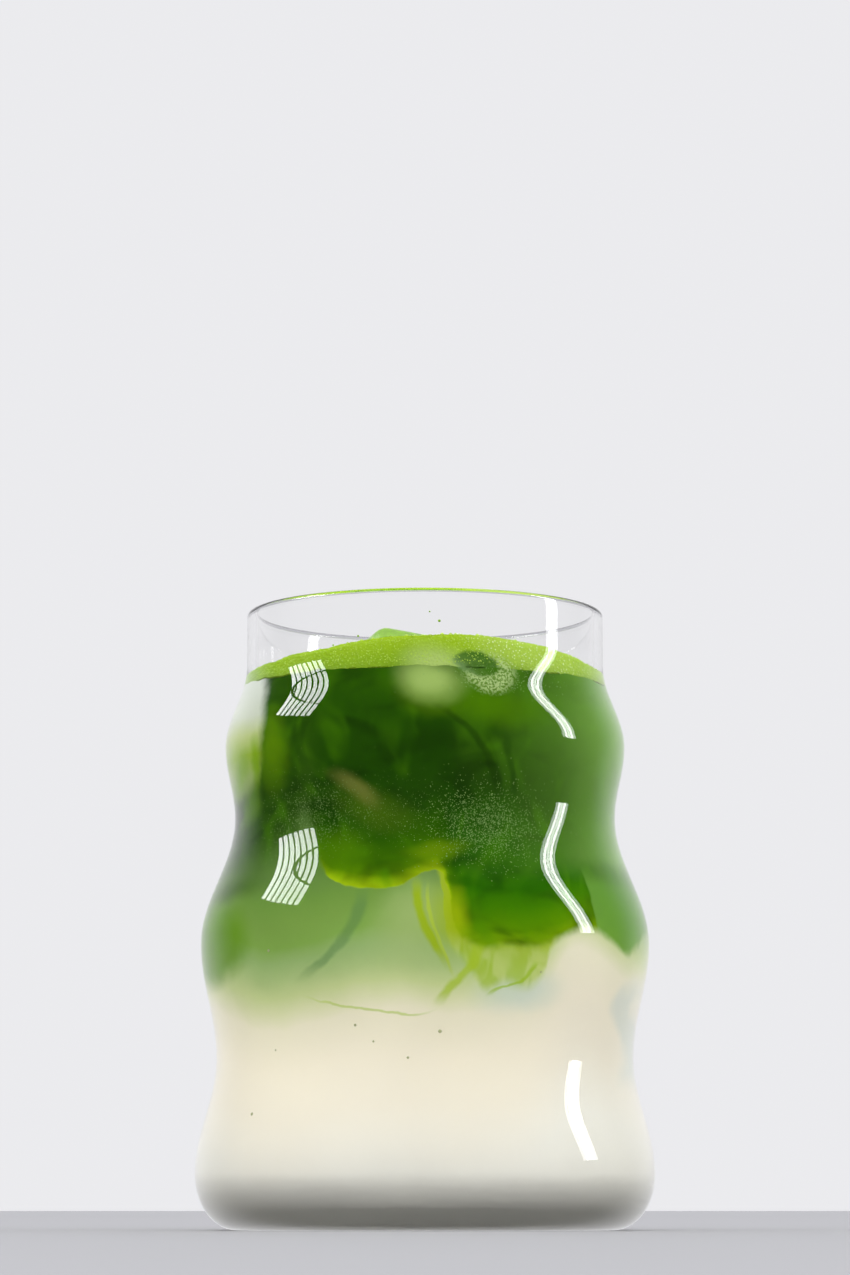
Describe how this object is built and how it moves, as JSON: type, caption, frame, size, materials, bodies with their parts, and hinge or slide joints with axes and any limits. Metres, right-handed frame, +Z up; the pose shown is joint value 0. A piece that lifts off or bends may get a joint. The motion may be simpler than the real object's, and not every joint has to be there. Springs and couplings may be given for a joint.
{
  "type": "iced matcha latte",
  "caption": "Iced matcha latte in a clear wavy glass: cream milk below, green matcha above, a bubbly foam heap and ice breaking the surface.",
  "frame": {"origin": "middle of the glass's foot, on the surface it stands on", "axes": "+Z up along the glass's axis to its rim, -Y towards the front, where the foam is heaped highest"},
  "size_m": [0.0866, 0.0866, 0.117],
  "materials": {
    "glass": "clear polished soda-lime glass",
    "milk": "opaque cream liquid",
    "matcha": "deep green liquid, clouded where it meets the milk",
    "foam": "fine wet lime-green bubbles",
    "ice": "clear wet ice tinted green"
  },
  "bodies": {
    "root": {"glass": "glass", "milk": "milk", "matcha": "matcha", "foam": "foam", "ice_top": "ice", "ice_front": "ice", "ice_side": "ice"}
  },
  "joints": []
}
